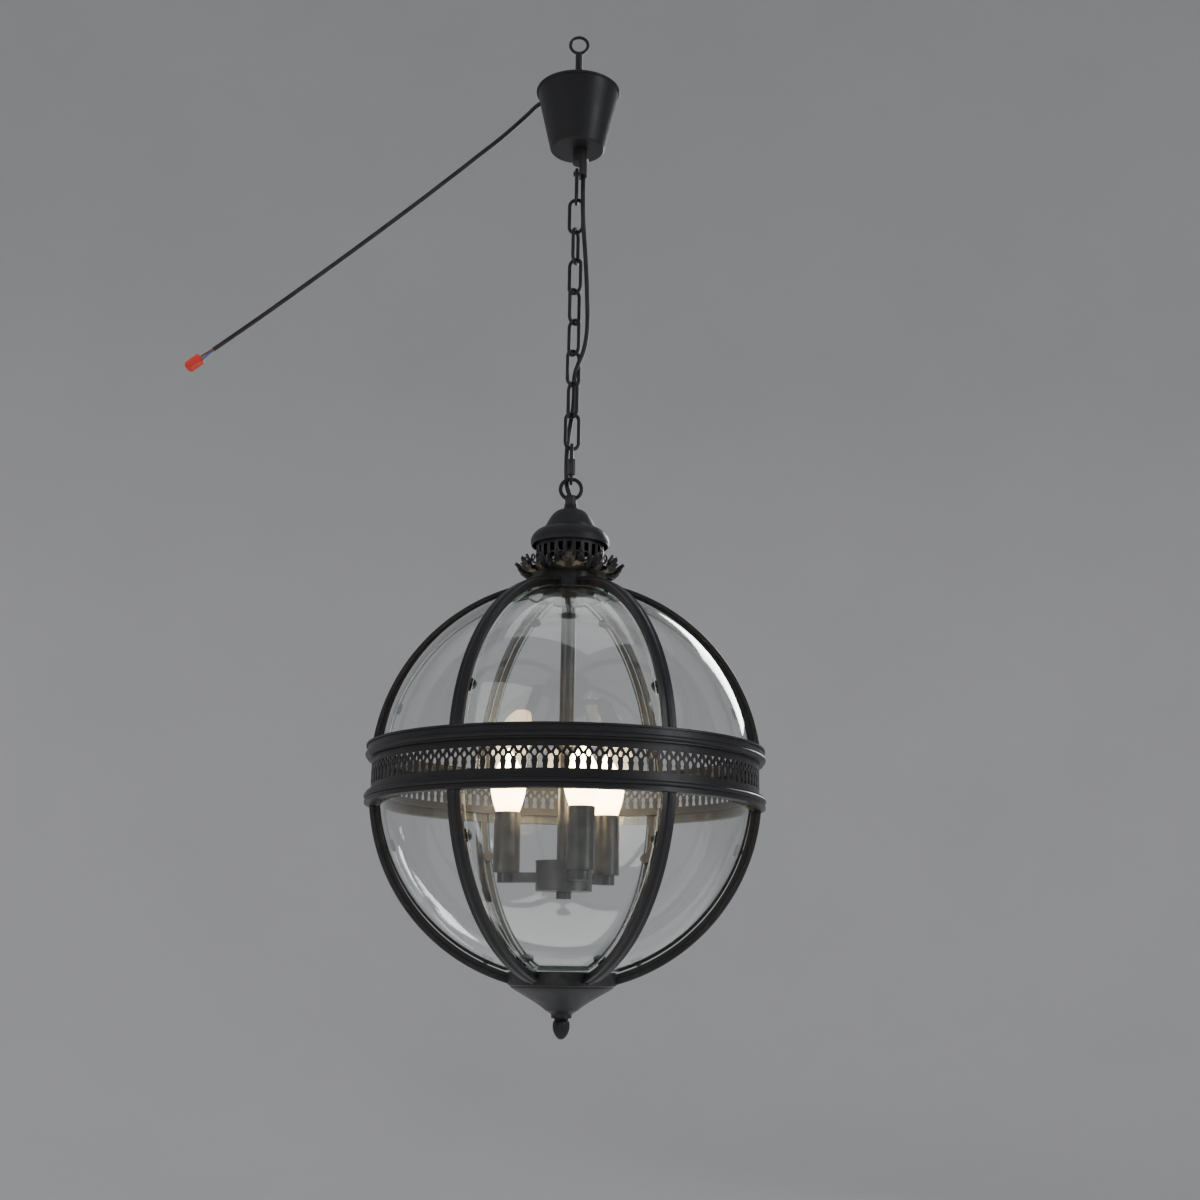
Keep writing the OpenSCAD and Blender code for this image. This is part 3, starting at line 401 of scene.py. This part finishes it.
flex_points = eased(metres(chain_route))
flex_lengths = (
    ("flex_at_boss", 0, -0.1755, ("ceiling_mount", "top_link"), (-0.150, -0.168)),
    ("flex_at_first_link", -0.1755, -0.33, ("top_link", "chain"), (-0.184, -0.204)),
    ("flex_through_links", -0.33, -0.494, ("chain", "connector"), (-0.464, -0.487)),
    ("flex_at_loop", -0.494, -0.6, ("connector", "lantern"), (-0.502, -0.523)))
for name, top, bottom, bodies, turn in flex_lengths:
    mesh = bmesh.new()
    run = [p for p in flex_points if bottom - 0.0045 <= p.z <= top + 0.0001]
    bent_wire(mesh, run, FLEX_D / 2, 16)
    bmesh.ops.recalc_face_normals(mesh, faces=mesh.faces)
    length = finished_mesh(name, mesh)
    length.data.materials.append(black_pvc)
    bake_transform(length)
    if name == "flex_at_boss":
        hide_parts("chain_cord")

# Screw connector that joins the chain to the loop, with its hexagonal threaded sleeve.
refinish(chain_black, "quick_link", "quick_link_sleeve")

# ---------------------------------------------------------------- loop, bell, hood and vent
# Cast loop on a hollow collar, then three spun caps: the bell, the domed hood and the slotted
# vent cage between the hood and the crown. All are enamelled and threaded on the centre rod.
cast_black = sprayed_enamel("cast_black_enamel", (0.009, 0.009, 0.010), 0.4, 1000, 0.0002)
refinish(cast_black, "hanging_loop", "bell_cap", "vent_hood", "vent_cage")

# ---------------------------------------------------------------- leaf crown
# Pierced brass-cast crown of twelve acanthus leaves that lean out, twelve upright leaves behind
# them and a pair of curled loops in each gap, standing on a dished floor. Enamelled black.
LEAVES = 12
crown_low, crown_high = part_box("crown")
CROWN_Z, CROWN_H = crown_low.z, crown_high.z - crown_low.z
CROWN_R = crown_high.x


def bezier(p, t):
    s = 1 - t
    return (s ** 3 * Vector(p[0]) + 3 * s * s * t * Vector(p[1])
            + 3 * s * t * t * Vector(p[2]) + t ** 3 * Vector(p[3]))


def leaf(mesh, turn, spine, width, teeth, thick, droop):
    """One cast leaf: a pointed blade with teeth that lean to its tip, a raised midrib and hollow sides."""
    along, across = 6 * teeth + 1, 4
    spin = Matrix.Rotation(turn, 3, "Z")
    sheets = []
    for side in (1, -1):
        rows = []
        for i in range(along):
            t = i / (along - 1)
            here = bezier(spine, t)
            ahead = (bezier(spine, min(t + 0.01, 1)) - bezier(spine, max(t - 0.01, 0))).normalized()
            out = Vector((-ahead.z, 0, ahead.x))
            tooth = (i % 6) / 5
            swell = min(1, 0.5 + 2 * t) * (1 - t ** 2.3)
            half = width / 2 * ((0.52 + 0.48 * tooth) * swell + 0.02)
            row = []
            for j in range(-across, across + 1):
                u = j / across
                vein = 0.5 * thick * (1 - min(1, abs(u) * 3.2))
                fold = 0.13 * width * math.sin(math.pi * abs(u)) * swell - droop * abs(u) ** 2.2 * swell
                lean = 0.0026 * u * u * tooth * swell
                p = here + Vector((0, u * half, 0)) + ahead * lean
                p += out * (side * thick / 2 * (1 - 0.55 * abs(u)) + side * vein - fold)
                row.append(mesh.verts.new(spin @ p))
            rows.append(row)
        sheets.append(rows)
        for low, high in zip(rows, rows[1:]):
            for j in range(2 * across):
                face = [low[j], low[j + 1], high[j + 1], high[j]]
                mesh.faces.new(face if side > 0 else face[::-1])
    front, back = sheets
    for i in range(along - 1):
        for j in (0, 2 * across):
            mesh.faces.new([front[i][j], front[i + 1][j], back[i + 1][j], back[i][j]])
    for i in (0, along - 1):
        for j in range(2 * across):
            mesh.faces.new([front[i][j], front[i][j + 1], back[i][j + 1], back[i][j]])


mesh = bmesh.new()
for i in range(LEAVES):
    turn = 2 * math.pi * i / LEAVES
    leaf(mesh, turn, [(0.038, 0, CROWN_Z + 0.0024), (0.047, 0, CROWN_Z + 0.0030),
                      (CROWN_R - 0.0080, 0, CROWN_Z + 0.0090), (CROWN_R - 0.0012, 0, CROWN_Z + 0.0120)],
         0.0225, 4, 0.0018, -0.0050)
    leaf(mesh, turn + math.pi / LEAVES, [(0.0395, 0, CROWN_Z + 0.0022), (0.0432, 0, CROWN_Z + 0.007),
                                         (0.0412, 0, CROWN_Z + 0.0135), (0.0462, 0, CROWN_Z + 0.0195)],
         0.0125, 3, 0.0014, 0.0012)
    for hand in (-1, 1):
        curl = []
        for k in range(29):
            t = k / 28
            swing = -0.5 * math.pi + 1.85 * math.pi * t
            reach = 0.0044 * (1 - 0.3 * t)
            rise = Vector((0.0425 + 0.006 * min(1, 1.6 * t), hand * (0.0046 + reach * math.cos(swing)),
                           CROWN_Z + 0.0108 + reach * math.sin(swing)))
            curl.append(Matrix.Rotation(turn + math.pi / LEAVES, 3, "Z") @ rise)
        bent_wire(mesh, curl, 0.0011, 8, taper=lambda t: 1 - 0.3 * t)
bmesh.ops.recalc_face_normals(mesh, faces=mesh.faces)
crown_leaves = show(finished_mesh("crown_leaves", mesh, 50), "lantern", cast_black)
dish = turned("crown_dish", [(0.0041, CROWN_Z), (0.036, CROWN_Z), (0.0405, CROWN_Z + 0.0006), (0.0452, CROWN_Z + 0.0026),
                             (0.0462, CROWN_Z + 0.0038), (0.0455, CROWN_Z + 0.0044), (0.0445, CROWN_Z + 0.0042),
                             (0.040, CROWN_Z + 0.0024), (0.036, CROWN_Z + 0.002), (0.0041, CROWN_Z + 0.002)], 96)
show(dish, "lantern", cast_black)
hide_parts("crown")

# ---------------------------------------------------------------- collar, rod and stem
# Deep collar that the ribs and the globe's top are fixed to, brushed along its length under the
# enamel, with the hollow threaded rod and the stem tube below it.
collar_black = sprayed_enamel("collar_black_enamel", (0.012, 0.012, 0.0135), 0.34)
refinish(collar_black, "top_collar", "stem_tube")
refinish(plated("zinc_rod", (0.55, 0.56, 0.58), (0.42, 0.43, 0.45), 0.34), "threaded_rod")

# ---------------------------------------------------------------- globe frame
# Twelve half ribs with rounded caps, rolled from steel and enamelled.
rib_black = sprayed_enamel("rib_black_enamel", (0.009, 0.009, 0.010), 0.37)
refinish(rib_black, *[f"{half}_rib_{i}" for half in ("upper", "lower") for i in range(1, 7)])
refinish(rib_black, "band_ring_upper", "band_ring_lower")

# ---------------------------------------------------------------- glass
# Twelve bent panels of clear 3 mm glass with ground, slightly green edges. Each half of the globe
# is part of a sphere, so what doesn't face the sphere's centre is a cut edge.


def panel_glass(name, centre_z):
    finish, tree, shader, place = new_finish(name)
    out = tree.nodes["Material Output"]
    from_centre = add(tree, "ShaderNodeVectorMath", {0: place, 1: (0, 0, centre_z)}, operation="SUBTRACT").outputs[0]
    radial = add(tree, "ShaderNodeVectorMath", {0: from_centre}, operation="NORMALIZE").outputs[0]
    facing = add(tree, "ShaderNodeVectorMath",
                 {0: radial, 1: add(tree, "ShaderNodeTexCoord").outputs["Normal"]}, operation="DOT_PRODUCT").outputs[1]
    edge = span(tree, add(tree, "ShaderNodeMath", {0: facing}, operation="ABSOLUTE").outputs[0], 0.55, 0.75, 1, 0)
    smears = speckle(tree, place, 9, 5)
    dust = speckle(tree, place, 420, 2)
    feed(tree, shader, Base_Color=mixed(tree, edge, (0.975, 0.99, 0.982), (0.45, 0.62, 0.54)),
         Roughness=add(tree, "ShaderNodeMath", {0: span(tree, edge, 0, 1, 0, 0.2),
                                                1: span(tree, smears, 0.35, 0.75, 0.0, 0.05)}).outputs[0],
         Transmission_Weight=span(tree, edge, 0, 1, 1, 0.85), IOR=1.5,
         Normal=embossed(tree, dust, 0.00002, 0.12))
    clear = add(tree, "ShaderNodeBsdfTransparent", {"Color": (0.93, 0.96, 0.945, 1)})
    lamp_ray = add(tree, "ShaderNodeLightPath").outputs["Is Shadow Ray"]
    pane = add(tree, "ShaderNodeMixShader", {0: lamp_ray, 1: shader.outputs[0], 2: clear.outputs[0]})
    tree.links.new(pane.outputs[0], out.inputs[0])
    return finish


ring_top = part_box("band_ring_upper")[0].z
ring_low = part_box("band_ring_lower")[1].z
band_z = (ring_top + ring_low) / 2 + 0.0015
refinish(panel_glass("upper_panel_glass", band_z + 0.010), *[f"upper_glass_{i}" for i in range(1, 7)])
refinish(panel_glass("lower_panel_glass", band_z - 0.010), *[f"lower_glass_{i}" for i in range(1, 7)])

# Turned glazing buttons, whose shanks pass between two panels and clamp both to the rib.
refinish(cast_black, "glass_buttons")

# ---------------------------------------------------------------- pierced band
# Steel strip between the two rings, punched with 126 lancet windows, a teardrop between each two
# heads and a triangle above each window. The punched edges are rounded over.
WINDOWS = 126
strip_low, strip_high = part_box("pierced_band")
STRIP_R, STRIP_T, PUNCH_EDGE = strip_high.x, 0.0015, 0.00028
cell = 2 * math.pi / WINDOWS


def lancet(grow):
    """Half-waisted window with a pointed head, from its foot round to its foot again."""
    side = [(2.75, 0), (2.7, 1.2), (2.3, 4.2), (1.75, 6.3), (2.05, 7.2), (2.45, 8.3), (2.5, 9.4), (2.1, 10.8),
            (1.3, 12.0), (0.0, 12.9)]
    points = side + [(-x, z) for x, z in side[-2::-1]]
    return [(x * (1 + grow / 2.4), 6.4 + (z - 6.4) * (1 + grow / 6.4) + WINDOW_FOOT) for x, z in points]


def triangle(grow):
    points = [(2.7, 19.3), (1.6, 17.6), (0.5, 15.5), (0, 15.05), (-0.5, 15.5), (-1.6, 17.6), (-2.7, 19.3), (0, 19.55)]
    return [(x * (1 + grow / 1.8), 17.6 + (z - 17.6) * (1 + grow / 2.1) + WINDOW_FOOT) for x, z in points]


def teardrop(grow):
    """Right half of the drop that stands on the cell's edge, from its foot up to its tip."""
    points = [(0, 10.9), (0.9, 11.4), (1.75, 12.7), (1.75, 13.9), (1.1, 15.3), (0.45, 16.4), (0, 16.9)]
    return [(x * (1 + grow / 1.8), 13.9 + (z - 13.9) * (1 + grow / 3) + WINDOW_FOOT) for x, z in points]


WINDOW_FOOT = 6.8
half_cell = 1000 * STRIP_R * cell / 2
strip_height = 1000 * (strip_high.z - strip_low.z)


def cell_loops(grow):
    """The outline of one cell, notched by half a teardrop at each side, and its two holes."""
    drop = teardrop(grow)
    right = [(half_cell - x, z) for x, z in drop]
    left = [(x - half_cell, z) for x, z in reversed(drop)]
    rim = ([(half_cell * (k / 4), 0) for k in range(-4, 5)] + right
           + [(half_cell * (k / 4), strip_height) for k in range(4, -5, -1)] + left)
    return [rim, lancet(grow), triangle(grow)], (9, 9 + len(drop)), (18 + len(drop), 18 + 2 * len(drop))


mesh = bmesh.new()


def on_strip(loop, depth, turn):
    made = []
    for x, z in loop:
        a = turn + x / 1000 / STRIP_R
        made.append(mesh.verts.new(((STRIP_R - depth) * math.cos(a), (STRIP_R - depth) * math.sin(a),
                                    strip_low.z + z / 1000)))
    return made


wide, right_notch, left_notch = cell_loops(1000 * PUNCH_EDGE)
nominal, _, _ = cell_loops(0)
front_fill = tessellate_polygon([[(x, z, 0) for x, z in loop] for loop in wide])
back_fill = tessellate_polygon([[(x, z, 0) for x, z in loop] for loop in nominal])
for i in range(WINDOWS):
    turn = cell * (i + 0.5)
    front = [on_strip(loop, 0, turn) for loop in wide]
    shoulder = [on_strip(loop, PUNCH_EDGE, turn) for loop in nominal]
    back = [on_strip(loop, STRIP_T, turn) for loop in nominal]
    for fill, loops in ((front_fill, front), (back_fill, back)):
        flat = [v for loop in loops for v in loop]
        for tri in fill:
            mesh.faces.new([flat[k] for k in tri])
    walls = [(0, k, k + 1) for notch in (right_notch, left_notch) for k in range(notch[0], notch[1] - 1)]
    walls += [(n, k, (k + 1) % len(nominal[n])) for n in (1, 2) for k in range(len(nominal[n]))]
    for n, a, b in walls:
        for outer, inner in ((front, shoulder), (shoulder, back)):
            mesh.faces.new([outer[n][a], outer[n][b], inner[n][b], inner[n][a]])
bmesh.ops.remove_doubles(mesh, verts=mesh.verts, dist=1e-6)
stray = [v for v in mesh.verts if not v.link_faces]
bmesh.ops.delete(mesh, geom=stray, context="VERTS")
bmesh.ops.recalc_face_normals(mesh, faces=mesh.faces)
pierced_strip = show(finished_mesh("pierced_strip", mesh, 28), "lantern", rib_black)
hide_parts("pierced_band")

# ---------------------------------------------------------------- base
# Spun base cup with a stepped rim and an ogee, and below it a cast acorn with twelve flutes.
refinish(cast_black, "base_cup")
acorn_low, acorn_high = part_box("finial")
ACORN_R, ACORN_TOP, ACORN_H = acorn_high.x, acorn_high.z, acorn_high.z - acorn_low.z
acorn_outline = [(0, ACORN_TOP), (0.0068, ACORN_TOP), (0.0072, ACORN_TOP - 0.0006), (0.0066, ACORN_TOP - 0.0014),
                 (0.0062, ACORN_TOP - 0.0018), (0.0069, ACORN_TOP - 0.0021)]
for k in range(1, 15):
    t = k / 14
    p = bezier([(0.0076, 0, -0.0023), (ACORN_R + 0.0006, 0, -0.0072), (ACORN_R - 0.001, 0, -0.0155),
                (0.0022, 0, -ACORN_H + 0.0004)], t)
    acorn_outline.append((min(p.x, ACORN_R - 0.0001), ACORN_TOP + p.z))
acorn_outline.append((0, acorn_low.z + 0.0001))


def acorn_flutes(turn, z):
    drop = (ACORN_TOP - z) / ACORN_H
    depth = 0.11 * max(0.0, math.sin(math.pi * min(1, max(0, (drop - 0.12) / 0.86)))) ** 0.6
    return 1 - depth * abs(math.cos(6 * turn)) ** 3


acorn = show(turned("acorn", acorn_outline, 144, acorn_flutes, closed=False), "lantern", cast_black)
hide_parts("finial")

# ---------------------------------------------------------------- candle cluster
# Drum hub with its lid and nut, three square arms, and a plain tube sleeve over each lampholder.
candle_black = sprayed_enamel("candle_black_enamel", (0.009, 0.009, 0.0095), 0.33)
refinish(candle_black, "cluster_hub", "hub_lid", "hub_nut", "cluster_arms", "candle_sleeves")
holder_plastic, tree, shader, place = new_finish("holder_plastic")
tone = speckle(tree, place, 80)
feed(tree, shader, Base_Color=mixed(tree, tone, (0.66, 0.63, 0.55), (0.58, 0.55, 0.47)),
     Roughness=span(tree, tone, 0.3, 0.7, 0.42, 0.58), IOR=1.52, Normal=embossed(tree, speckle(tree, place, 900), 0.0001, 0.4))
refinish(holder_plastic, "lampholders")

# ---------------------------------------------------------------- bulbs
# Three lit opal candle bulbs: a frosted glass envelope, brightest round its middle, cemented to a
# plated screw cap that screws into the lampholder.
opal_glow, tree, shader, place = new_finish("opal_glow")
bulb_low, bulb_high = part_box("bulb_1")
level = add(tree, "ShaderNodeSeparateXYZ", {0: place}).outputs[2]
neck_z = bulb_high.z - 0.071
warmth = span(tree, level, neck_z, neck_z + 0.022)
mottle = speckle(tree, place, 160)
glow = mixed(tree, warmth, (1.0, 0.54, 0.18), (1.0, 0.76, 0.43))
feed(tree, shader, Base_Color=(0.9, 0.86, 0.78, 1), Roughness=span(tree, mottle, 0.3, 0.7, 0.16, 0.3), IOR=1.5,
     Emission_Color=glow, Emission_Strength=add(tree, "ShaderNodeMath", {0: span(tree, warmth, 0, 1, 9, 26), 1: span(tree, mottle, 0, 1, 0.9, 1.1)}, operation="MULTIPLY").outputs[0],
     Normal=embossed(tree, mottle, 0.00008, 0.2))
plated_cap = plated("plated_screw_cap", (0.72, 0.7, 0.64), (0.55, 0.53, 0.48), 0.3)
BULB_R, CAP_R = 0.018, 0.00695
for i in (1, 2, 3):
    low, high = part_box(f"bulb_{i}")
    foot = high.z - 0.071
    centre = Vector(((low.x + high.x) / 2, (low.y + high.y) / 2, 0))
    outline = [(0, foot)]
    for k in range(15):
        p = bezier([(0.0100, 0, 0), (0.0106, 0, 0.0055), (0.0166, 0, 0.016), (BULB_R, 0, 0.032)], k / 14)
        outline.append((p.x, foot + p.z))
    for k in range(1, 21):
        p = bezier([(BULB_R, 0, 0.032), (BULB_R, 0, 0.044), (0.0076, 0, 0.0596), (0.0022, 0, 0.0685)], k / 20)
        outline.append((p.x, foot + p.z))
    outline += [(0.0012, foot + 0.0705), (0, high.z)]
    envelope = turned(f"bulb_{i}_envelope", outline, 64, closed=False)
    envelope.data.transform(Matrix.Translation(centre))
    show(envelope, f"bulb_{'abc'[i - 1]}", opal_glow)
    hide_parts(f"bulb_{i}")
    mesh = bmesh.new()
    threaded_outline(mesh, CAP_R, 0.0007, 0.0028, foot - 0.0006, low.z + 0.003, 32)
    bmesh.ops.translate(mesh, verts=mesh.verts, vec=centre)
    cap = show(finished_mesh(f"bulb_{i}_cap", mesh, 60), f"bulb_{'abc'[i - 1]}", plated_cap)
